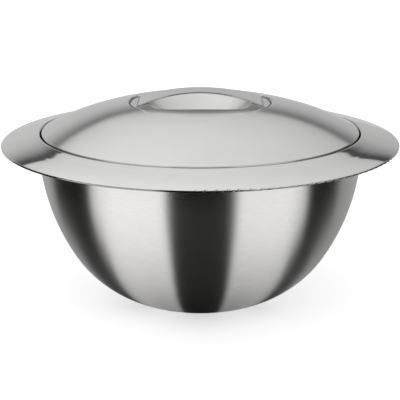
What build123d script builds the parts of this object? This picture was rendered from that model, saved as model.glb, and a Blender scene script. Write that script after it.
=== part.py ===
"""Insulated stainless serving bowl with a domed lid, as separate pieces in their closed position.

Millimetres, +Z up. The origin is the centre of the base, on the surface that the bowl stands on.
Nearly every piece is a pressed sheet, so its section is drawn as one line along the side that
shows and thickened to the sheet. The strap of the handle runs along X.
"""

import os
from math import acos, asin, cos, degrees, radians, sin, sqrt, tan

from build123d import *

os.makedirs("parts", exist_ok=True)

# Sheets and clearances
bowl_sheet = 0.6  # both shells of the bowl
lid_sheet = 0.6  # dome, liner and handle dish
strap_sheet = 1.0
hem_clearance = 0.05  # between the layers of the folded brim edge
weld_clearance = 0.05  # between sheets that are welded face to face
fill_clearance = 0.25  # round the insulation

# Brim, lip and lid seat of the bowl
brim_radius = 150.0  # outermost edge of the hem
brim_height = 125.5  # top of the brim where it turns into the hem
brim_width = 29.15  # outermost edge to the upright wall that the lid drops into
brim_slope = 10.5  # fall of the outer, conical half
brim_cone_width = 15.0  # from the edge to where the brim starts to sweep up towards the lip
hem_return = 5.0  # width of the sheet folded back under the edge
lip_bend = 1.2
lip_angle = 27.0  # slope of the brim just outside the lip
seat_depth = 5.1  # crest of the lip to the ledge that carries the lid
seat_bend = 1.0  # inner corner between ledge and lip
mouth_bend = 2.5  # rounded edge between ledge and inside wall
throat_height = 1.0  # upright stretch of the wall under that edge

# Bowl wall and base
wall_overhang = 1.55  # outside of the wall under the brim, beyond the bore of the lip
fold_bend = 1.5  # outside fold between wall and brim
jacket_gap = 8.1  # insulated space between the two shells
base_radius = 41.0  # outer edge of the flat standing ring
heel_radius = 16.0
heel_angle = 14.5
belly_angle = 58.0  # slope where the tighter belly arc meets the wall arc
base_recess = 1.4  # rise of the base inside the standing ring
base_recess_radius = 33.0
base_step_bend = 1.5
vent_radius = 5.0  # filling hole of the jacket, closed by the base plate
base_plate_sheet = 0.8
base_plate_clearance = 0.4

# Lid
lid_clearance = 0.8  # dark gap round the lid, inside the lip
lid_edge_bend = 1.2
lid_proud = 0.65  # dome edge over the crest of the lip
dome_edge_angle = 26.1
dome_ring_angle = 9.5  # slope where the dome rolls down into the groove round the handle
ring_radius = 53.4  # foot of that roll
ring_bend = 2.0
liner_depth = 9.0  # underside of the liner below its flange
plug_clearance = 3.1  # plug of the liner to the inside wall
liner_corner = 4.0
liner_flange_bend = 1.0
seal_thickness = 1.2
seal_clearance = 0.1  # over the ledge
seal_inset = 1.2  # from plug and from skirt to the seal
seal_rounding = 0.4
lid_fill_inset = 3.0  # insulation to the plug wall

# Handle
ring_drop = 1.8  # edge of the dome to the floor of the groove round the handle
dish_flange = 3.2  # dish sheet that runs on under the dome
dish_rise = 2.7  # floor of the groove to the middle of the dish piece, before the trough is pressed
shoulder_angle = 60.0
shoulder_bend = 1.5
shoulder_foot_bend = 0.8
crown_flat_radius = 29.5
crown_radius = 215.0  # gentle fall of the dish piece towards the groove
crown_angle = 5.6
trough_half_length = 42.0  # finger trough under the strap, at the height of the crown
trough_half_width = 36.0
trough_depth = 17.0
rim_bend = 2.5  # rolled rim of the trough
pocket_start = 45.3  # pocket for the foot of the strap
pocket_wall_angle = 45.0
pocket_clearance = 0.4
strap_span = 46.0  # centre to the bend where the arch meets its foot
strap_rise = 8.5
strap_step_angle = 50.0  # steepest slope between arch and foot
strap_foot_bend = 2.0
strap_end_clearance = 1.0  # foot to the wall of the groove
strap_mid_width = 21.5
strap_end_width = 38.4


def turned(angle):
    """Unit vector at an angle above the outward direction."""
    return (cos(radians(angle)), sin(radians(angle)))


def arc_pair(run, rise, start_angle, joint_angle):
    """Radii of two tangent arcs that climb from start_angle to upright over this run and rise."""
    run_one = sin(radians(joint_angle)) - sin(radians(start_angle))
    rise_one = cos(radians(start_angle)) - cos(radians(joint_angle))
    run_two = 1 - sin(radians(joint_angle))
    rise_two = cos(radians(joint_angle))
    span = run_one * rise_two - run_two * rise_one
    return (run * rise_two - run_two * rise) / span, (run_one * rise - run * rise_one) / span


# Brim: lip crest, sweep and cone, as seen from above
lip_bore_radius = brim_radius - brim_width
brim_cone_radius = brim_radius - brim_cone_width
hem_bend = (3 * bowl_sheet) / 2 + hem_clearance  # half of the three layers, with a gap on each side
brim_end_radius = brim_radius - hem_bend * (1 - sin(radians(brim_slope)))
sweep_start_radius = lip_bore_radius + lip_bend * (1 + sin(radians(lip_angle)))
sweep_run = brim_cone_radius - sweep_start_radius
sweep_radius = sweep_run / (sin(radians(lip_angle)) - sin(radians(brim_slope)))
cone_height = brim_height + (brim_end_radius - brim_cone_radius) * tan(radians(brim_slope))
sweep_rise = sweep_radius * (cos(radians(brim_slope)) - cos(radians(lip_angle)))
lip_height = cone_height + sweep_rise + lip_bend * (1 - cos(radians(lip_angle)))
seat_height = lip_height - seat_depth
upright_height = seat_height - mouth_bend - throat_height

# Wall, and the flange of the outer shell: parallel to the brim, two sheets down, folded from the wall
wall_radius = lip_bore_radius + wall_overhang
flange_drop = 2 * bowl_sheet + hem_clearance
sweep_centre_radius = sweep_start_radius + sweep_radius * sin(radians(lip_angle))
sweep_centre_height = cone_height + sweep_radius * cos(radians(brim_slope))
fold_reach = sweep_radius + flange_drop + fold_bend
fold_angle = degrees(asin((sweep_centre_radius - wall_radius - fold_bend) / fold_reach))
wall_height = sweep_centre_height - fold_reach * cos(radians(fold_angle))

# Wall arcs of the outer shell, and the distance from its outside to the inside of the bowl
heel_run = heel_radius * sin(radians(heel_angle))
heel_rise = heel_radius * (1 - cos(radians(heel_angle)))
belly_radius, flank_radius = arc_pair(
    wall_radius - base_radius - heel_run,
    upright_height - heel_rise,
    heel_angle,
    belly_angle,
)
wall_build = 2 * bowl_sheet + jacket_gap
base_step_angle = degrees(acos(1 - base_recess / (2 * base_step_bend)))
base_step_run = 2 * base_step_bend * sin(radians(base_step_angle))

# Lid: the skirt hangs inside the lip and its liner stands on the seal
lid_radius = lip_bore_radius - lid_clearance
lid_foot = seat_height + seal_clearance + seal_thickness
dome_edge_height = lip_height + lid_proud
ring_angle = degrees(acos(1 - (ring_drop - weld_clearance) / ring_bend))
dome_run = (
    lid_radius
    - ring_radius
    - ring_bend * (sin(radians(ring_angle)) + sin(radians(dome_ring_angle)))
    - lid_edge_bend * (1 - sin(radians(dome_edge_angle)))
)
dome_radius = dome_run / (sin(radians(dome_edge_angle)) - sin(radians(dome_ring_angle)))
dome_rise = dome_radius * (cos(radians(dome_ring_angle)) - cos(radians(dome_edge_angle)))
ring_height = dome_edge_height + dome_rise + ring_bend * (1 - cos(radians(dome_ring_angle)))
liner_height = lid_foot - liner_depth
liner_radius = wall_radius - wall_build - plug_clearance

# Handle: floor of the groove, crown of the dish piece and axis of the barrel that presses the trough
floor_height = ring_height - ring_drop
crown_height = floor_height + dish_rise
crown_drop = crown_radius * (1 - cos(radians(crown_angle)))
shoulder_drop = shoulder_bend * (cos(radians(crown_angle)) - cos(radians(shoulder_angle)))
shoulder_foot_drop = shoulder_foot_bend * (1 - cos(radians(shoulder_angle)))
shoulder_run = (dish_rise - crown_drop - shoulder_drop - shoulder_foot_drop) / sin(radians(shoulder_angle))
barrel_radius = (trough_half_length**2 + trough_depth**2) / (2 * trough_depth)
barrel_height = crown_height + (trough_half_width**2 - trough_depth**2) / (2 * trough_depth)
barrel_axis = Axis((0, 0, barrel_height), (1, 0, 0))
strap_radius = (strap_span**2 + strap_rise**2) / (2 * strap_rise)
strap_angle = degrees(asin(strap_span / strap_radius))
strap_step = strap_foot_bend * (1 + cos(radians(strap_angle)) - 2 * cos(radians(strap_step_angle)))
strap_end_radius = ring_radius - strap_end_clearance


def bowl_wall(inset):
    """Line from the heel up to the collar, parallel to the outside of the bowl and inset from it."""
    heel = JernArc((base_radius, inset), turned(0), heel_radius - inset, heel_angle)
    belly = JernArc(heel @ 1, heel % 1, belly_radius - inset, belly_angle - heel_angle)
    return JernArc(belly @ 1, belly % 1, flank_radius - inset, 90 - belly_angle)


def dome_underside(radius):
    """Height of the insulation's top under the dome, at this radius."""
    edge_radius = lid_radius - lid_edge_bend * (1 - sin(radians(dome_edge_angle)))
    centre_radius = edge_radius - dome_radius * sin(radians(dome_edge_angle))
    centre_height = dome_edge_height - dome_radius * cos(radians(dome_edge_angle))
    fill_dome_radius = dome_radius - lid_sheet - fill_clearance
    return centre_height + sqrt(fill_dome_radius**2 - (radius - centre_radius) ** 2)


def trough_line(inset):
    """Outline of the barrel, lying along X, whose underside is the finger trough, grown by inset."""
    half_length = sqrt((barrel_radius + inset) ** 2 - (barrel_radius - trough_depth) ** 2)
    sag = ThreePointArc(
        (-half_length, crown_height),
        (0, crown_height - trough_depth - inset),
        (half_length, crown_height),
    )
    return Polyline(sag @ 1, (half_length, barrel_height), (-half_length, barrel_height), sag @ 0)


def dish_block(inset):
    """Block that ends at the top of the dish piece, or at its underside when that is set down by inset."""
    crown_top = crown_height - inset
    groove_floor = floor_height - inset
    block_radius = ring_radius + dish_flange + inset
    block_foot = crown_height - 2 * trough_depth - inset
    pocket_corner = pocket_start - inset * tan(radians(pocket_wall_angle / 2))
    pocket_rim = pocket_corner - dish_rise / tan(radians(pocket_wall_angle))
    with BuildPart() as block:
        with BuildSketch(Plane.XZ):
            with BuildLine():
                flat = Line((0, crown_top), (crown_flat_radius, crown_top))
                crown = JernArc(flat @ 1, turned(0), crown_radius - inset, -crown_angle)
                shoulder = JernArc(crown @ 1, crown % 1, shoulder_bend - inset, crown_angle - shoulder_angle)
                wall = PolarLine(shoulder @ 1, shoulder_run, -shoulder_angle)
                foot = JernArc(wall @ 1, wall % 1, shoulder_foot_bend + inset, shoulder_angle)
                groove = Line(foot @ 1, (block_radius, groove_floor))
                Polyline(groove @ 1, (block_radius, block_foot), (0, block_foot), flat @ 0)
            make_face()
        revolve(axis=Axis.Z)
        with BuildSketch(Plane.XZ):
            with BuildLine():
                trough_line(inset)
            make_face()
        revolve(axis=barrel_axis, mode=Mode.SUBTRACT)
        rim = block.edges(Select.LAST).sort_by(Axis.Z)[-2:]
        fillet(rim, radius=rim_bend - inset)
        with BuildSketch(Plane.XZ):
            with BuildLine():
                Polyline(
                    (pocket_rim, crown_top),
                    (pocket_corner, groove_floor),
                    (block_radius, groove_floor),
                    (block_radius, crown_top),
                    (pocket_rim, crown_top),
                )
            make_face()
            mirror(about=Plane.YZ)
        extrude(amount=strap_end_width / 2 + pocket_clearance + inset, both=True, mode=Mode.SUBTRACT)
    return block.part


# Outer shell of the bowl: brushed jacket, drawn along its outside from the filling hole to the hem
with BuildPart() as bowl_outer_shell:
    with BuildSketch(Plane.XZ):
        with BuildLine():
            recess = Line((vent_radius, base_recess), (base_recess_radius, base_recess))
            step_down = JernArc(recess @ 1, turned(0), base_step_bend, -base_step_angle)
            step_out = JernArc(step_down @ 1, step_down % 1, base_step_bend, base_step_angle)
            Line(step_out @ 1, (base_radius, 0))
            wall = bowl_wall(0)
            collar = Line(wall @ 1, (wall_radius, wall_height))
            fold = JernArc(collar @ 1, turned(90), fold_bend, -90 - fold_angle)
            sweep = JernArc(fold @ 1, fold % 1, sweep_radius + flange_drop, fold_angle - brim_slope)
            flange_end = brim_end_radius - hem_bend * sin(radians(brim_slope))
            flange_run = (flange_end - (sweep @ 1).X) / cos(radians(brim_slope))
            PolarLine(sweep @ 1, flange_run, -brim_slope)
            offset(amount=bowl_sheet, side=Side.LEFT)
        make_face()
    revolve(axis=Axis.Z)

# Inner shell of the bowl: food vessel, lid seat, lip and brim, hemmed round the jacket's flange
with BuildPart() as bowl_inner_shell:
    with BuildSketch(Plane.XZ):
        with BuildLine():
            Line((0, wall_build), (base_radius, wall_build))
            wall = bowl_wall(wall_build)
            throat = Line(wall @ 1, ((wall @ 1).X, seat_height - mouth_bend))
            mouth = JernArc(throat @ 1, turned(90), mouth_bend, -90)
            seat = Line(mouth @ 1, (lip_bore_radius - seat_bend, seat_height))
            corner = JernArc(seat @ 1, turned(0), seat_bend, 90)
            bore = Line(corner @ 1, (lip_bore_radius, lip_height - lip_bend))
            lip = JernArc(bore @ 1, turned(90), lip_bend, -90 - lip_angle)
            sweep = JernArc(lip @ 1, lip % 1, sweep_radius, lip_angle - brim_slope)
            cone = Line(sweep @ 1, (brim_end_radius, brim_height))
            hem = JernArc(cone @ 1, cone % 1, hem_bend, -180)
            PolarLine(hem @ 1, hem_return, 180 - brim_slope)
            offset(amount=bowl_sheet, side=Side.RIGHT)
        make_face()
    revolve(axis=Axis.Z)

# Insulation of the jacket: fills the space between the shells up to just under the lid seat
with BuildPart() as bowl_insulation:
    fill_inset = bowl_sheet + fill_clearance
    with BuildSketch(Plane.XZ):
        with BuildLine():
            Line((0, fill_inset), (base_radius, fill_inset))
            wall = bowl_wall(fill_inset)
            Line(wall @ 1, ((wall @ 1).X, seat_height - mouth_bend))
            offset(amount=jacket_gap - 2 * fill_clearance, side=Side.LEFT)
        make_face()
    revolve(axis=Axis.Z)
    with BuildSketch():
        Circle(base_recess_radius + base_step_run + fill_clearance)
    extrude(amount=base_recess + fill_inset, mode=Mode.SUBTRACT)

# Base plate: disc welded into the recess of the base, over the filling hole
with BuildPart() as base_plate:
    with BuildSketch(Plane.XY.offset(base_recess - weld_clearance - base_plate_sheet)):
        Circle(base_recess_radius - base_plate_clearance)
    extrude(amount=base_plate_sheet)
    fillet(base_plate.edges().group_by(Axis.Z)[0], radius=base_plate_sheet / 2)

# Dome of the lid: polished outside, turned down at its edge, and rolled down to the groove round the
# handle, where its foot is trimmed flat to stand on the handle dish
with BuildPart() as lid_dome:
    with BuildSketch(Plane.XZ):
        with BuildLine():
            ring_foot = (ring_radius, floor_height + weld_clearance)
            roll = JernArc(ring_foot, turned(ring_angle), ring_bend, -ring_angle - dome_ring_angle)
            dome = JernArc(roll @ 1, roll % 1, dome_radius, dome_ring_angle - dome_edge_angle)
            edge = JernArc(dome @ 1, dome % 1, lid_edge_bend, dome_edge_angle - 90)
            Line(edge @ 1, (lid_radius, lid_foot))
            offset(amount=lid_sheet, side=Side.RIGHT)
        make_face()
    revolve(axis=Axis.Z)
    with BuildSketch(Plane.XY.offset(floor_height - lid_sheet)):
        Circle(ring_radius + dish_flange)
    extrude(amount=lid_sheet + weld_clearance, mode=Mode.SUBTRACT)

# Liner of the lid: inner pan that reaches into the mouth, welded inside the skirt of the dome
with BuildPart() as lid_liner:
    with BuildSketch(Plane.XZ):
        with BuildLine():
            pan = Line((0, liner_height), (liner_radius - liner_corner, liner_height))
            corner = JernArc(pan @ 1, turned(0), liner_corner, 90)
            plug = Line(corner @ 1, (liner_radius, lid_foot - liner_flange_bend))
            bend = JernArc(plug @ 1, turned(90), liner_flange_bend, -90)
            Line(bend @ 1, (lid_radius - lid_sheet - weld_clearance, lid_foot))
            offset(amount=lid_sheet, side=Side.LEFT)
        make_face()
    revolve(axis=Axis.Z)

# Seal: flat ring under the liner's flange, on the ledge of the bowl
with BuildPart() as lid_seal_ring:
    with BuildSketch(Plane.XY.offset(seat_height + seal_clearance)):
        Circle(lid_radius - seal_inset)
        Circle(liner_radius + seal_inset, mode=Mode.SUBTRACT)
    extrude(amount=seal_thickness)
    fillet(lid_seal_ring.edges(), radius=seal_rounding)

# Handle dish: crowned disc with a trough pressed in for the fingers and a pocket for each foot of the
# strap, welded under the edge of the dome
dish_top = dish_block(0)
dish_underside = dish_block(lid_sheet)
with BuildPart() as handle_dish:
    add(dish_top)
    add(dish_underside, mode=Mode.SUBTRACT)

# Insulation of the lid: fills the pan under the dome, hollowed out round the handle dish
with BuildPart() as lid_insulation:
    lid_fill = lid_sheet + fill_clearance
    fill_radius = liner_radius - lid_fill_inset
    fill_core = ring_radius + dish_flange + fill_clearance
    fill_top = floor_height - lid_fill
    with BuildSketch(Plane.XZ):
        with BuildLine():
            floor = Line((0, liner_height + lid_fill), (fill_radius, liner_height + lid_fill))
            side = Line(floor @ 1, (fill_radius, dome_underside(fill_radius)))
            top = RadiusArc(side @ 1, (fill_core, dome_underside(fill_core)), lid_fill - dome_radius)
            Polyline(top @ 1, (fill_core, fill_top), (0, fill_top), floor @ 0)
        make_face()
    revolve(axis=Axis.Z)
    with BuildSketch(Plane.XZ):
        with BuildLine():
            trough_line(lid_fill)
        make_face()
    revolve(axis=barrel_axis, mode=Mode.SUBTRACT)

# Handle strap: arched band over the trough, flared towards its two feet, which stand in the pockets
with BuildPart() as handle_strap:
    foot_height = floor_height + weld_clearance + strap_sheet
    with BuildSketch(Plane.XZ):
        with BuildLine():
            arch = JernArc((0, foot_height + strap_step + strap_rise), turned(0), strap_radius, -strap_angle)
            step = JernArc(arch @ 1, arch % 1, strap_foot_bend, strap_angle - strap_step_angle)
            bend = JernArc(step @ 1, step % 1, strap_foot_bend, strap_step_angle)
            Line(bend @ 1, (strap_end_radius, foot_height))
            mirror(about=Plane.YZ)
            offset(amount=strap_sheet, side=Side.RIGHT)
        make_face()
    extrude(amount=strap_end_width / 2, both=True)
    with BuildSketch():
        with BuildLine():
            front = ThreePointArc(
                (-strap_span, strap_end_width / 2),
                (0, strap_mid_width / 2),
                (strap_span, strap_end_width / 2),
            )
            right_end = Line(front @ 1, (strap_end_radius, strap_end_width / 2))
            Line(front @ 0, (-strap_end_radius, strap_end_width / 2))
            mirror(about=Plane.XZ)
            Line(right_end @ 1, (strap_end_radius, -strap_end_width / 2))
            Line((-strap_end_radius, strap_end_width / 2), (-strap_end_radius, -strap_end_width / 2))
        make_face()
        Circle(strap_end_radius, mode=Mode.INTERSECT)
    extrude(amount=foot_height + strap_step + strap_rise, mode=Mode.INTERSECT)

pieces = {
    "bowl_outer_shell": bowl_outer_shell,
    "bowl_inner_shell": bowl_inner_shell,
    "bowl_insulation": bowl_insulation,
    "base_plate": base_plate,
    "lid_dome": lid_dome,
    "lid_liner": lid_liner,
    "lid_seal_ring": lid_seal_ring,
    "lid_insulation": lid_insulation,
    "handle_dish": handle_dish,
    "handle_strap": handle_strap,
}
for name, piece in pieces.items():
    piece.part.label = name
    export_step(piece.part, f"parts/{name}.step")
    box = piece.part.bounding_box()
    print(f"{name}: {piece.part.volume:.0f} mm3, z {box.min.Z:.2f} to {box.max.Z:.2f}")
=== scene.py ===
from math import atan2, cos, degrees, exp, hypot, log, pi, radians, sin, sqrt, tan

import bpy
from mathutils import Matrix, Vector


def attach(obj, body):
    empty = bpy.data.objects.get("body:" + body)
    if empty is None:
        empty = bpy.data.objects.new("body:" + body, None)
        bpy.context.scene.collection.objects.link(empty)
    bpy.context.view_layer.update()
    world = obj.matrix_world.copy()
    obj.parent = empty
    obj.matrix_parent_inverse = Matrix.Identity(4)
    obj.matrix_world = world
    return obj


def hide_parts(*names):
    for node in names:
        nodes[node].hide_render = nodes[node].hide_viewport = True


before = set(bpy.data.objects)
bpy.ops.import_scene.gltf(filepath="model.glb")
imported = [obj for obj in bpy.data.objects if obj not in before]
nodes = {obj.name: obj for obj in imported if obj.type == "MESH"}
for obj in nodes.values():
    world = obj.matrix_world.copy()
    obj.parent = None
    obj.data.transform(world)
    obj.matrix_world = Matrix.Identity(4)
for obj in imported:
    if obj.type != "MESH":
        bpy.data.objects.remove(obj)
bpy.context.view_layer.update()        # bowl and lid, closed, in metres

white = (1.0, 1.0, 1.0, 1.0)
noiseMean = 0.5
bpy.ops.object.select_all(action="DESELECT")
print("frame loaded:", ", ".join(sorted(nodes)))


# A node socket that takes part in sums
class Wire:
    def __init__(self, graph, socket):
        self.graph = graph
        self.socket = socket

    def calc(self, operation, *values):
        return self.graph.node("ShaderNodeMath", {"operation": operation}, list(values))

    def atLeast(self, low):
        return self.calc("MAXIMUM", self, low)

    def __add__(self, other):
        return self.calc("ADD", self, other)

    def __sub__(self, other):
        return self.calc("SUBTRACT", self, other)

    def __mul__(self, other):
        return self.calc("MULTIPLY", self, other)

    def __truediv__(self, other):
        return self.calc("DIVIDE", self, other)

    def __pow__(self, other):
        return self.calc("POWER", self, other)

    def __rsub__(self, other):
        return self.calc("SUBTRACT", other, self)

    __radd__ = __add__
    __rmul__ = __mul__


# The node tree of a material or of the world
class Graph:
    def __init__(self, owner):
        owner.use_nodes = True
        isWorld = isinstance(owner, bpy.types.World)
        self.output = "ShaderNodeOutputWorld" if isWorld else "ShaderNodeOutputMaterial"
        self.tree = owner.node_tree
        self.tree.nodes.clear()

    def node(self, kind, settings, inputs, output=0):
        made = self.tree.nodes.new(kind)
        for key, value in settings.items():
            if key == "stops":
                self.setStops(made.color_ramp, value)
            else:
                setattr(made, key, value)
        pairs = inputs.items() if isinstance(inputs, dict) else enumerate(inputs)
        for key, value in pairs:
            if isinstance(value, Wire):
                self.tree.links.new(value.socket, made.inputs[key])
            else:
                made.inputs[key].default_value = value
        return Wire(self, made.outputs[output]) if len(made.outputs) else made

    def setStops(self, ramp, stops):
        while len(ramp.elements) < len(stops):
            ramp.elements.new(1.0)
        for element, (place, tone) in zip(ramp.elements, stops):
            element.position = place
            element.color = (tone, tone, tone, 1.0)

    # Straight runs through (value, result) points, flat outside them; results may pass 1
    def curve(self, value, points):
        low, high = points[0][0], points[-1][0]
        peak = max(result for at, result in points)
        stops = [((at - low) / (high - low), result / peak) for at, result in points]
        return self.node("ShaderNodeValToRGB", {"stops": stops}, [(value - low) / (high - low)]) * peak

    def step(self, value, low, high):
        rise = {"interpolation_type": "SMOOTHSTEP"}
        return self.node("ShaderNodeMapRange", rise, {"Value": value, "From Min": low, "From Max": high})

    # The Mix node has its colours on inputs 6 and 7 and output 2
    def tint(self, factor, first, second):
        tones = [tone if isinstance(tone, Wire) else (*tone, 1.0) for tone in (first, second)]
        return self.node("ShaderNodeMix", {"data_type": "RGBA"}, {0: factor, 6: tones[0], 7: tones[1]}, 2)

    def place(self, kind):
        axes = self.node("ShaderNodeTexCoord", {}, {}, kind)
        split = self.node("ShaderNodeSeparateXYZ", {}, [axes])
        return axes, *(Wire(self, out) for out in split.socket.node.outputs)

    def noise(self, place, scale=1.0, detail=2.0, roughness=0.5):
        settings = {"Vector": place, "Scale": scale, "Detail": detail, "Roughness": roughness}
        return self.node("ShaderNodeTexNoise", {}, settings)

    def vector(self, x, y, z):
        return self.node("ShaderNodeCombineXYZ", {}, [x, y, z])

    def bump(self, height, strength=1.0, distance=1.0, normal=None):
        settings = {"Strength": strength, "Distance": distance, "Height": height}
        if normal:
            settings["Normal"] = normal
        return self.node("ShaderNodeBump", {}, settings)

    def surface(self, shader):
        self.node(self.output, {}, {"Surface": shader})

    def principled(self, sockets):
        self.surface(self.node("ShaderNodeBsdfPrincipled", {}, sockets))


# Polished steel: rings from the wheel, faint smudges and stray hairlines
polish = {
    "tone": (0.76, 0.757, 0.75),
    "smudgeTone": (0.735, 0.732, 0.725),
    "paintedShadeTone": (0.03, 0.03, 0.03),
    "smudgeScale": 38.0,
    "smudgeDetail": 5.0,
    "smudgeRoughness": 0.6,
    "smudgeCut": (0.35, 0.75),
    "ringScale": 1500.0,      # polishing rings, per metre of radius
    "ringDrift": 5.0,
    "ringDetail": 3.0,
    "hairScale": 900.0,
    "hairStretch": 0.03,
    "hairDetail": 1.0,
    "hairCut": (0.70, 0.76),
    "hairRough": 0.04,
    "hairHeight": 0.6,
    "hairAngles": (20, 95, 150),
    "bumpStrength": 0.05,
    "bumpHeight": 0.00001,
}


# shade: painted shade, 0 to 1; curl: extra shape of the surface, in metres; dull: added roughness
# bright: factor on the tones, painted light where above 1; roll: normal that takes the place of the
# mesh's, under the curl
def polishedSteel(name, roughness, spread, shade=None, curl=None, dull=None, bright=1.0, roll=None):
    finish = bpy.data.materials.new(name)
    graph = Graph(finish)
    axes, x, y, z = graph.place("Object")
    radius = (x * x + y * y) ** 0.5
    drift = polish["ringDrift"]
    ringPlace = graph.vector(x * drift, y * drift, (radius - z) * polish["ringScale"])
    rings = graph.noise(ringPlace, detail=polish["ringDetail"])
    smudge = graph.noise(axes, polish["smudgeScale"], polish["smudgeDetail"], polish["smudgeRoughness"])
    hairs = 0.0
    for angle in polish["hairAngles"]:
        along = x * cos(radians(angle)) + y * sin(radians(angle))
        across = y * cos(radians(angle)) - x * sin(radians(angle))
        hairPlace = graph.vector(along * polish["hairStretch"], across, z)
        hair = graph.noise(hairPlace, polish["hairScale"], polish["hairDetail"])
        hairs = graph.step(hair, *polish["hairCut"]) + hairs
    rough = roughness + spread * (rings - noiseMean) + spread * (smudge - noiseMean)
    rough = rough + polish["hairRough"] * hairs
    if dull:
        rough = rough + dull(graph, radius, z)
    base = None
    if curl:
        base = graph.bump(curl(graph, radius, z), normal=roll(graph, x, y, radius, z) if roll else None)
    height = rings + polish["hairHeight"] * hairs
    tones = [[bright * part for part in polish[key]] for key in ("tone", "smudgeTone")]
    colour = graph.tint(graph.step(smudge, *polish["smudgeCut"]), *tones)
    # Painted shade: the mask darkens the colour towards a near-black tone
    if shade:
        colour = graph.tint(shade(graph, radius, z), colour, polish["paintedShadeTone"])
    graph.principled({
        "Base Color": colour,
        "Metallic": 1.0,
        "Roughness": rough,
        "Normal": graph.bump(height, polish["bumpStrength"], polish["bumpHeight"], base),
    })
    return finish


# Satin steel, brushed round the bowl: short grain and a fine speckle where the light turns
brush = {
    "tone": (0.66, 0.655, 0.645),
    "dark": (0.6, 0.595, 0.585),
    "toneCut": (0.3, 0.75),
    "roughness": 0.32,
    "anisotropy": 1.0,
    "turn": 0.25,             # grain runs round the bowl, so light spreads up and down
    "grainScale": 1500.0,
    "grainDrift": 160.0,
    "grainDetail": 3.0,
    "grainRough": 0.05,
    "grainHeight": 0.000002,
    "speckleScale": 750.0,
    "speckleRough": 0.04,
    "speckleHeight": 0.000012,
    "noiseRoughness": 0.6,
}


def brushedSteel(name):
    finish = bpy.data.materials.new(name)
    graph = Graph(finish)
    axes, x, y, z = graph.place("Object")
    radius = (x * x + y * y) ** 0.5
    drift = brush["grainDrift"]
    grainPlace = graph.vector(x * drift, y * drift, (z + radius) * brush["grainScale"])
    grain = graph.noise(grainPlace, detail=brush["grainDetail"], roughness=brush["noiseRoughness"])
    speckle = graph.noise(axes, brush["speckleScale"], roughness=brush["noiseRoughness"])
    rough = brush["roughness"] + brush["grainRough"] * (grain - noiseMean)
    height = grain * brush["grainHeight"] + speckle * brush["speckleHeight"]
    graph.principled({
        "Base Color": graph.tint(graph.step(grain, *brush["toneCut"]), brush["dark"], brush["tone"]),
        "Metallic": 1.0,
        "Roughness": rough + brush["speckleRough"] * (speckle - noiseMean),
        "Anisotropic": brush["anisotropy"],
        "Anisotropic Rotation": brush["turn"],
        "Normal": graph.bump(height),
    })
    return finish


# Filling of the jacket and the lid: cells of poured foam
foam = {
    "tone": (0.85, 0.8, 0.62),
    "dark": (0.74, 0.67, 0.47),
    "toneCut": (0.25, 0.7),
    "cellScale": 700.0,
    "cellShare": 0.6,
    "clumpScale": 60.0,
    "clumpDetail": 3.0,
    "clumpShare": 0.4,
    "roughness": 0.9,
    "height": 0.0004,
}


def pouredFoam(name):
    finish = bpy.data.materials.new(name)
    graph = Graph(finish)
    axes = graph.place("Object")[0]
    cells = graph.node("ShaderNodeTexVoronoi", {}, {"Vector": axes, "Scale": foam["cellScale"]})
    clumps = graph.noise(axes, foam["clumpScale"], foam["clumpDetail"])
    spots = cells * foam["cellShare"] + clumps * foam["clumpShare"]
    graph.principled({
        "Base Color": graph.tint(graph.step(spots, *foam["toneCut"]), foam["dark"], foam["tone"]),
        "Roughness": foam["roughness"],
        "Normal": graph.bump(cells, distance=foam["height"]),
    })
    return finish


# Seal: matte, with faint moulding flow
seal = {
    "tone": (0.75, 0.75, 0.74),
    "dark": (0.68, 0.68, 0.67),
    "toneCut": (0.3, 0.7),
    "flowScale": 90.0,
    "flowDetail": 4.0,
    "grainScale": 2500.0,
    "grainRough": 0.1,
    "roughness": 0.55,
    "height": 0.00002,
}


def mouldedSilicone(name):
    finish = bpy.data.materials.new(name)
    graph = Graph(finish)
    axes = graph.place("Object")[0]
    flow = graph.noise(axes, seal["flowScale"], seal["flowDetail"])
    grain = graph.noise(axes, seal["grainScale"])
    graph.principled({
        "Base Color": graph.tint(graph.step(flow, *seal["toneCut"]), seal["dark"], seal["tone"]),
        "Roughness": seal["roughness"] + seal["grainRough"] * (grain - noiseMean),
        "Normal": graph.bump(grain, distance=seal["height"]),
    })
    return finish


def dress(name, finish):
    for slot in nodes[name].material_slots:
        slot.material = finish


# Painted shade in the gap between lid and lip, a dark line: spans of radius and height, in metres
seamShade = {
    "dome": (0.1192, 0.1198),
    "lip": (0.1213, 0.1219),
    "lipFoot": (0.128, 0.129),
    "depth": 0.3,
}

# The brim's shading: flatter inside and steeper outside than the mesh, with a round hem whose underside
# gets painted shade
edge = {
    "curlStart": 0.1314,
    "curl": 3.35,             # per metre
    "joint": 0.135,           # evens out the mesh's normals, which jump here
    "jointTurn": 0.038,
    "easeEnd": 0.1327,
    "ease": 12.5,
    "fold": (0.3, 0.8),       # dark to bright, by how far the hem faces up
    "foldRadius": (0.146, 0.147),
    "depth": 0.75,
    "roll": (0.149, 0.1491),
    "rollRadius": 0.14905,    # centre of the hem's round section
    "rollHeight": 0.124566,
}

# Painted shade in the gaps beside the strap's feet and on the dome's rolled edge, on the strap's cut
# edges and on the step above its feet
gap = {
    "height": (0.1523, 0.1531),
    "reach": (0.044, 0.046),
    "roll": (0.0538, 0.0547),
    "depth": 0.75,
    "cut": 0.6,
    "cutReach": (0.012, 0.04),
    "cutFacing": (0.3, 0.8),
    "step": 0.5,
    "stepFoot": (0.1528, 0.1533),
    "stepTop": (0.1539, 0.1546),
}

# Satin inside the trough and the vessel
satin = {
    "trough": (0.0375, 0.039),
    "troughDull": 0.25,
    "vessel": (0.1195, 0.1205),
    "vesselDull": 0.24,
}


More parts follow.
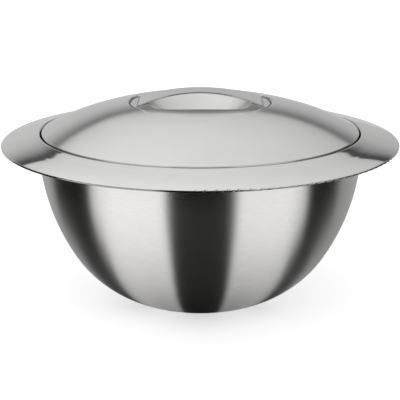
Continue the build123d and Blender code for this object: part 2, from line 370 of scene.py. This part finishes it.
# Painted shade on the dome: a dark line by the gap to the lip, and dark lines on the rolled edge
def domeShade(graph, radius, z):
    roll = 1 - graph.step(radius, *gap["roll"])
    return graph.step(radius, *seamShade["dome"]) * seamShade["depth"] + roll * gap["depth"]


# Painted shade in the pockets beside the strap's feet
def dishShade(graph, radius, z):
    deep = 1 - graph.step(z, *gap["height"])
    return deep * graph.step(radius, *gap["reach"]) * gap["depth"]


# Painted shade on the strap: darker on its cut edges, which face sideways, and on the step above its feet
def strapShade(graph, radius, z):
    up = graph.place("Normal")[3]
    step = graph.step(z, *gap["stepFoot"]) * (1 - graph.step(z, *gap["stepTop"]))
    cut = (1 - graph.step(up, *gap["cutFacing"])) * graph.step(radius, *gap["cutReach"])
    return cut * gap["cut"] + step * gap["step"]


# Painted shade on the brim: a dark line at the lip by the gap to the lid, and on the hem's underside by
# how far it faces up
def brimShade(graph, radius, z):
    lip = (1 - graph.step(radius, *seamShade["lip"])) * graph.step(z, *seamShade["lipFoot"])
    rise = z - edge["rollHeight"]
    out = (radius - edge["rollRadius"]).atLeast(0.0)
    facing = rise / (rise * rise + out * out) ** 0.5
    fold = (1 - graph.step(facing, *edge["fold"])) * graph.step(radius, *edge["foldRadius"])
    return lip * seamShade["depth"] + fold * edge["depth"]


def brimCurl(graph, radius, z):
    outer = (radius - edge["curlStart"]).atLeast(0.0)
    joint = (edge["joint"] - radius).atLeast(0.0)
    inner = (edge["easeEnd"] - radius).atLeast(0.0)
    return 0 - outer * outer * edge["curl"] - joint * edge["jointTurn"] - inner * inner * edge["ease"]


# Normal of the hem's round section, since the mesh is uneven there
def hemRoll(graph, x, y, radius, z):
    plain = graph.node("ShaderNodeNewGeometry", {}, {}, "Normal")
    out = (radius - edge["rollRadius"]) / radius
    aim = graph.vector(x * out, y * out, z - edge["rollHeight"])
    turned = graph.node("ShaderNodeVectorMath", {"operation": "NORMALIZE"}, [aim])
    return graph.tint(graph.step(radius, *edge["roll"]), plain, turned)


# The trough's mouth is a rounded square of the fourth power
def troughDull(graph, radius, z):
    x, y = graph.place("Object")[1:3]
    reach = (x * x * x * x + y * y * y * y) ** 0.25
    return (1 - graph.step(reach, *satin["trough"])) * satin["troughDull"]


def vesselDull(graph, radius, z):
    return (1 - graph.step(radius, *satin["vessel"])) * satin["vesselDull"]


# The brim's tones are raised a tenth: painted light
brimSteel = polishedSteel(
    "brimPolish", roughness=0.05, spread=0.02, bright=1.1,
    shade=brimShade, curl=brimCurl, dull=vesselDull, roll=hemRoll,
)
domeSteel = polishedSteel("domePolish", roughness=0.15, spread=0.04, shade=domeShade)
dishSteel = polishedSteel("dishPolish", roughness=0.13, spread=0.04, shade=dishShade, dull=troughDull)
strapSteel = polishedSteel("strapPolish", roughness=0.14, spread=0.04, shade=strapShade)
wallSteel = brushedSteel("wallBrushed")
fillFoam = pouredFoam("fillFoam")
dress("bowl_inner_shell", brimSteel)
dress("lid_dome", domeSteel)
dress("lid_seal_ring", mouldedSilicone("sealSilicone"))
for name in ("bowl_outer_shell", "base_plate", "lid_liner"):
    dress(name, wallSteel)
for name in ("bowl_insulation", "lid_insulation"):
    dress(name, fillFoam)
print("finishes set")


# Handle, in millimetres: a pressed dish flush with the dome, and the strap that arches over it
handle = {
    "segments": 360,
    "rings": (16, 14, 8),     # in the trough, across its rim and on the crown
    "edge": 55.8,             # the dish laps over the dome's rolled edge, at the front and back
    "edgeTop": 153.615,
    "edgeSlope": 9.5,         # continues the dome
    "rimSlope": 4.6,          # at the front and back, steeper towards the strap's feet
    "rimSlopeTurn": 0.6,
    "slopeGain": 1.7,         # steady growth of the slope, and the rest late, towards the edge
    "slopePower": 6.0,
    "rimRadius": 39.0,        # mouth of the finger trough, a rounded square
    "rimPower": 4.0,
    "rimReach": 3.0,          # finer rings each side of the rim
    "rimSoft": 6.0,           # sharpness of the rounded rim, per mm
    "troughFloor": 137.8,     # barrel shape: an arc along the strap, turned about an axis over it
    "troughArc": 60.4,
    "troughAxis": 184.1,
    "shelf": 152.0,           # least height between barrel and rim
    "shelfSlope": 18.0,
    "floor": 151.75,          # pocket for the strap's foot
    "pocketAngle": (25.6, 27.2),
    "pocketStart": 44.5,
    "pocketFall": 1.2,
    "pocketClear": 0.3,
    "notchAngle": (27.2, 50.0),
    "notchRadius": 54.05,     # beside the pockets the dish ends in a fine gap
    "notchDrop": 0.78,
    "notchRound": 0.22,
    "lipWidths": (1.2, 0.85, 0.55, 0.3, 0.12, 0.0),
    "sheet": 0.8,
    "strapSteps": (160, 12),  # along and across
    "strapTop": 162.62,
    "strapFall": 0.00389,     # arch: fall per mm squared
    "strapHalfWidth": 11.0,
    "strapFlare": 0.0046,
    "strapSheet": 1.0,
    "strapBevel": 0.3,
    "bevelSegments": 3,
    "bevelAngle": 60.0,
    "archEnd": 45.6,
    "archShare": 0.7,         # of the strap's length
    "footStart": 48.2,
    "footTop": 152.8,
    "footEnd": 52.6,
    "footFlare": 0.8,
    "ringFoot": 53.4,         # the dome's rolled edge
    "rollRadius": 55.42,
    "rollTop": 153.6,
    "rollBend": 2.0,
    "seat": 0.025,
    "capFacing": 0.5,         # a face that points this far up or down is part of a disc
    "sharpAngle": 35.0,
    "mm": 0.001,
}


def smooth(value, low, high):
    share = min(max((value - low) / (high - low), 0.0), 1.0)
    return share * share * (3 - 2 * share)


def blend(first, second, share):
    return first + (second - first) * share


# Top of the pressed disc, whose slope grows from the rim's to the edge's
def crownTop(radius, angle):
    run = handle["edge"] - handle["rimRadius"]
    share = (radius - handle["rimRadius"]) / run
    rimFall = tan(radians(handle["rimSlope"])) / max(sin(angle), handle["rimSlopeTurn"])
    gain = tan(radians(handle["slopeGain"]))
    growth = tan(radians(handle["edgeSlope"])) - rimFall - gain
    power = handle["slopePower"] + 1
    late = max(share, 0.0)
    rise = rimFall * (1 - share) + gain * (1 - late * late) / 2 + growth * (1 - late**power) / power
    return handle["edgeTop"] + run * rise


def strapUnder(along):
    return handle["strapTop"] - handle["strapFall"] * along * along - handle["strapSheet"]


def rimAt(angle):
    power = handle["rimPower"]
    return handle["rimRadius"] / (cos(angle) ** power + sin(angle) ** power) ** (1 / power)


def softMin(first, second):
    soft = handle["rimSoft"]
    return min(first, second) - log(1 + exp(-soft * abs(first - second))) / soft


def barrelTop(along, across):
    arc = handle["troughArc"]
    bottom = handle["troughFloor"] + arc - sqrt(arc * arc - along * along)
    reach = handle["troughAxis"] - bottom
    return handle["troughAxis"] - sqrt(max(reach * reach - across * across, 0.0))


# How far an angle is inside the pocket of a strap's foot, or the notch beside it: 0 to 1
def pocketShare(angle):
    return 1 - smooth(degrees(angle), *handle["pocketAngle"])


def notchShare(angle):
    return 1 - smooth(degrees(angle), *handle["notchAngle"])


def dishTop(radius, angle):
    rim = rimAt(angle)
    along = radius * cos(angle)
    shelfRise = tan(radians(handle["shelfSlope"])) * (radius - rim)
    shelf = crownTop(rim, angle) + 1 / handle["rimSoft"] + shelfRise
    wall = softMin(max(shelf, handle["shelf"]), barrelTop(along, radius * sin(angle)))
    drop = handle["pocketClear"] + handle["pocketFall"] * max(along - handle["pocketStart"], 0.0)
    pocket = max(strapUnder(along) - drop, handle["floor"])
    crown = crownTop(radius, angle)
    crown = blend(crown, min(crown, pocket), pocketShare(angle))
    return softMin(wall, crown)


# Distances from the centre, from the middle of the trough to the edge of the dish
def dishRings(angle):
    rim = rimAt(angle)
    edgeRadius = blend(handle["edge"], handle["notchRadius"], notchShare(angle))
    reach = handle["rimReach"]
    inTrough, onRim, onCrown = handle["rings"]
    rings = [(rim - reach) * step / inTrough for step in range(inTrough + 1)]
    rings += [rim - reach + 2 * reach * step / onRim for step in range(1, onRim + 1)]
    lipStart = edgeRadius - handle["lipWidths"][0]
    rings += [blend(rim + reach, lipStart, step / onCrown) for step in range(1, onCrown)]
    return rings + [edgeRadius - width for width in handle["lipWidths"]]


# Rolled edge of the dome, which carries the edge of the dish
def rollTop(radius):
    away = radius - handle["rollRadius"]
    if away > 0:
        return handle["rollTop"] - away * tan(radians(handle["edgeSlope"]))
    bend = handle["rollBend"]
    return handle["rollTop"] - bend + sqrt(max(bend * bend - away * away, 0.0))


# Upper and lower height of the dish, ring by ring
def dishColumn(angle):
    rings = dishRings(angle)
    inPocket = pocketShare(angle)
    notch = notchShare(angle) * (1 - inPocket)
    column = []
    for radius in rings:
        fall = handle["notchDrop"] * exp((radius - rings[-1]) / handle["notchRound"])
        top = dishTop(radius, angle) - notch * fall
        under = top - handle["sheet"]
        if radius > handle["ringFoot"]:
            carried = min(max(under, rollTop(radius) + handle["seat"]), top - handle["seat"])
            under = blend(carried, under, inPocket)
        column.append((radius, top, under))
    return column


def selectCap(mesh, up):
    bpy.ops.object.mode_set(mode="OBJECT")
    for face in mesh.polygons:
        face.select = face.normal.z * up > handle["capFacing"]
    bpy.ops.object.mode_set(mode="EDIT")


def joinLid(piece, name, finish):
    piece.name = name
    piece.data.name = name
    piece.data.materials.append(finish)
    bpy.ops.object.shade_smooth_by_angle(angle=radians(handle["sharpAngle"]))
    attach(piece, "lid")


# A disc whose two faces get their rings by insets, which then go to their heights
def pressDish(finish):
    bpy.ops.object.select_all(action="DESELECT")
    bpy.ops.mesh.primitive_cylinder_add(vertices=handle["segments"], radius=1.0, depth=1.0)
    piece = bpy.context.object
    mesh = piece.data
    last = len(dishRings(0.0)) - 1
    bpy.ops.object.mode_set(mode="EDIT")
    bpy.ops.mesh.select_mode(type="FACE")
    for up in (1, -1):
        selectCap(mesh, up)
        for ring in range(last - 1):
            bpy.ops.mesh.inset(thickness=1 / last)
        bpy.ops.mesh.poke()
    bpy.ops.object.mode_set(mode="OBJECT")
    columns = {}
    for vertex in mesh.vertices:
        x, y, z = vertex.co
        angle = atan2(abs(y), abs(x))
        key = round(degrees(angle), 2)
        if key not in columns:
            columns[key] = dishColumn(angle)
        away = hypot(x, y)
        radius, top, under = columns[key][round(away * last)]
        turn = atan2(y, x)
        height = top if z > 0 else under
        vertex.co = Vector((radius * cos(turn), radius * sin(turn), height)) * handle["mm"]
    joinLid(piece, "handleDish", finish)
    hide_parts("handle_dish")


# Place on the strap's top: share runs along it, side across, both from -1 to 1
def strapPoint(share, side):
    archShare = handle["archShare"]
    end = handle["archEnd"]
    along = end * min(abs(share) / archShare, 1.0)
    halfWidth = handle["strapHalfWidth"] + handle["strapFlare"] * along * along
    height = handle["strapTop"] - handle["strapFall"] * along * along
    foot = (abs(share) - archShare) / (1 - archShare)
    if foot > 0:
        halfWidth += handle["footFlare"] * foot
        across = halfWidth * side
        along = blend(end, sqrt(handle["footEnd"] ** 2 - across * across), foot)
        run = handle["footStart"] - end
        over = min((along - end) / run, 1.0)
        start = 2 * handle["strapFall"] * end * run * over * (1 - over) ** 2
        height = blend(height, handle["footTop"], over * over * (3 - 2 * over)) - start
    return Vector((along if share > 0 else -along, halfWidth * side, height)) * handle["mm"]


def bendStrap(finish):
    bpy.ops.object.select_all(action="DESELECT")
    alongSteps, acrossSteps = handle["strapSteps"]
    bpy.ops.mesh.primitive_grid_add(x_subdivisions=alongSteps, y_subdivisions=acrossSteps, size=2.0)
    piece = bpy.context.object
    for vertex in piece.data.vertices:
        vertex.co = strapPoint(vertex.co.x, vertex.co.y)
    thick = piece.modifiers.new("thick", "SOLIDIFY")
    thick.thickness = handle["strapSheet"] * handle["mm"]
    thick.offset = -1.0
    bpy.ops.object.modifier_apply(modifier=thick.name)
    edges = piece.modifiers.new("edges", "BEVEL")
    edges.width = handle["strapBevel"] * handle["mm"]
    edges.segments = handle["bevelSegments"]
    edges.limit_method = "ANGLE"
    edges.angle_limit = radians(handle["bevelAngle"])
    bpy.ops.object.modifier_apply(modifier=edges.name)
    joinLid(piece, "handleStrap", finish)
    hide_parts("handle_strap")


pressDish(dishSteel)
bendStrap(strapSteel)
print("handle modelled")


# Studio: elevations and azimuths in degrees, azimuth 0 is towards the camera, right is positive
studio = {
    "backdrop": [             # brightness by elevation: pale wall, dark gap, overhead light
        (-10, 0.55), (8, 0.55), (12, 0.52), (15, 0.45), (18, 0.32), (20, 0.16), (21, 0.08), (22.8, 0.06),
        (23.2, 0.58), (25, 0.64), (28, 0.69), (32, 0.73), (38, 0.79), (46, 0.85), (60, 0.9),
    ],
    "tilt": 0.3,              # the overhead light is stronger on the left
    "slant": 24.0,            # its lower edge climbs on the far left
    "slantStart": -0.2,
    "side": 0.95,             # the two side lights
    "sideTop": 52.0,
    "flagTop": 22.0,          # upper edge of the dark flags between the lights
    "soft": 6.0,
    "dark": 0.012,
    "edges": {
        "left": (-72.0, -21.0),
        "right": (22.0, 70.0),
        "back": (-132.0, 132.0),
        "soft": 3.0,
        "backSoft": 3.0,
    },
}


# Masks of the left light, the right light and everything behind the dark flags
def sectors(graph, turn, edges):
    def between(name, soft):
        low, high = edges[name]
        start = graph.step(turn, low - soft, low + soft)
        return start * (1 - graph.step(turn, high - soft, high + soft))

    soft = edges["soft"]
    return between("left", soft), between("right", soft), 1 - between("back", edges["backSoft"])


def azimuth(x, y):
    return x.calc("ARCTAN2", x, 0 - y) * degrees(1)


def lightStudio():
    world = bpy.data.worlds.new("studioLight")
    bpy.context.scene.world = world
    graph = Graph(world)
    x, y, z = graph.place("Generated")[1:]
    elevation = z.calc("ARCSINE", z) * degrees(1)

    def under(top):
        return 1 - graph.step(elevation, top - studio["soft"], top + studio["soft"])

    climb = (studio["slantStart"] - x).atLeast(0.0)
    level = graph.curve(elevation - studio["slant"] * climb, studio["backdrop"])
    backdrop = level * (1 - studio["tilt"] * x)
    left, right, back = sectors(graph, azimuth(x, y), studio["edges"])
    sides = (left + right) * under(studio["sideTop"])
    flags = (1 - left - right - back) * under(studio["flagTop"])
    level = sides * studio["side"] + flags * studio["dark"] + (1 - sides - flags) * backdrop
    graph.surface(graph.node("ShaderNodeBackground", {}, {"Color": white, "Strength": level}))


floorLook = {"size": 80.0, "tone": (0.8, 0.8, 0.8), "glow": 0.62}


# Pale floor that takes the shadow and glows to the eye and in reflections
def layFloor():
    bpy.ops.mesh.primitive_plane_add(size=floorLook["size"], location=(0, 0, 0))
    floor = bpy.context.object
    floor.name = "floor"
    paint = bpy.data.materials.new("floorPaint")
    graph = Graph(paint)
    matte = graph.node("ShaderNodeBsdfDiffuse", {}, {"Color": (*floorLook["tone"], 1)})
    outs = graph.node("ShaderNodeLightPath", {}, {}).socket.node.outputs
    seen = Wire(graph, outs["Is Camera Ray"]) + Wire(graph, outs["Is Glossy Ray"])
    seen = seen + Wire(graph, outs["Is Transmission Ray"])
    shine = {"Color": white, "Strength": seen * floorLook["glow"]}
    glow = graph.node("ShaderNodeEmission", {}, shine)
    graph.surface(graph.node("ShaderNodeAddShader", {}, [matte, glow]))
    floor.data.materials.append(paint)


# Round card on the floor that only shows in reflections: the table as the steel sees it
tableCard = {
    "radius": 39.0,
    "segments": 64,
    "height": 0.0005,
    # Glow by radius, lowest near the bowl: painted shadow of the bowl on the table, as the steel sees it
    "left": [(0.05, 0.2), (0.075, 0.36), (0.1, 0.62), (0.15, 1.1), (0.2, 1.45), (0.35, 1.7)],
    "right": [(0.05, 0.16), (0.075, 0.28), (0.1, 0.5), (0.15, 0.95), (0.2, 1.3), (0.35, 1.6)],
    "back": [(0.1, 0.36), (0.4, 0.5), (1.0, 0.6)],
    "dark": 0.006,
    "spread": [(0.06, 1.7), (0.12, 1.4), (0.25, 1.1), (0.45, 1.0)],  # the lights narrow towards the bowl
    "edges": {
        "left": (-74.5, -21.3),
        "right": (22.7, 72.0),
        "back": (-117.0, 105.0),
        "soft": 2.6,
        "backSoft": 7.0,
    },
    "lift": [(0.1, 0.07), (0.2, 0.012), (0.35, 0.0)],     # the dark flags pale towards the bowl
    "liftTurn": (40.0, 50.0),
}


def layTableCard():
    bpy.ops.object.select_all(action="DESELECT")
    bpy.ops.mesh.primitive_circle_add(
        vertices=tableCard["segments"],
        radius=tableCard["radius"],
        fill_type="NGON",
        location=(0, 0, tableCard["height"]),
    )
    card = bpy.context.object
    card.name = "tableCard"
    paint = bpy.data.materials.new("tableCardPaint")
    graph = Graph(paint)
    x, y = graph.place("Object")[1:3]
    radius = (x * x + y * y) ** 0.5
    turn = azimuth(x, y) * graph.curve(radius, tableCard["spread"])
    left, right, back = sectors(graph, turn, tableCard["edges"])
    tone = left * graph.curve(radius, tableCard["left"]) + right * graph.curve(radius, tableCard["right"])
    tone = tone + back * graph.curve(radius, tableCard["back"]) + tableCard["dark"]
    sideways = graph.step(turn.calc("ABSOLUTE", turn), *tableCard["liftTurn"])
    tone = tone + sideways * graph.curve(radius, tableCard["lift"])
    graph.surface(graph.node("ShaderNodeEmission", {}, {"Color": white, "Strength": tone}))
    card.data.materials.append(paint)
    card.visible_camera = False
    card.visible_diffuse = False
    card.visible_shadow = False
    card.visible_transmission = False


lightStudio()
layFloor()
layTableCard()
print("studio set")


# Camera at the photo's viewing angle: metres and degrees, and pixels of the photo
shot = {
    "distance": 0.84375,
    "elevation": 16.07,
    "aim": 0.0759,
    "focalPixels": 1086.6,
    "imagePixels": 400.0,
    "shiftPixels": 0.25,
    "sensor": 36.0,
    "clipEnd": 100.0,
}


def placeCamera():
    lens = bpy.data.cameras.new("photoCamera")
    camera = bpy.data.objects.new("photoCamera", lens)
    bpy.context.collection.objects.link(camera)
    lens.sensor_width = shot["sensor"]
    lens.lens = shot["sensor"] * shot["focalPixels"] / shot["imagePixels"]
    lens.shift_x = -shot["shiftPixels"] / shot["imagePixels"]
    lens.clip_end = shot["clipEnd"]
    tilt = radians(shot["elevation"])
    aim = Vector((0, 0, shot["aim"]))
    camera.location = aim + shot["distance"] * Vector((0, -cos(tilt), sin(tilt)))
    camera.rotation_euler = (pi / 2 - tilt, 0, 0)
    bpy.context.scene.camera = camera


placeCamera()
bpy.context.scene.view_settings.view_transform = "Standard"
print("camera set")
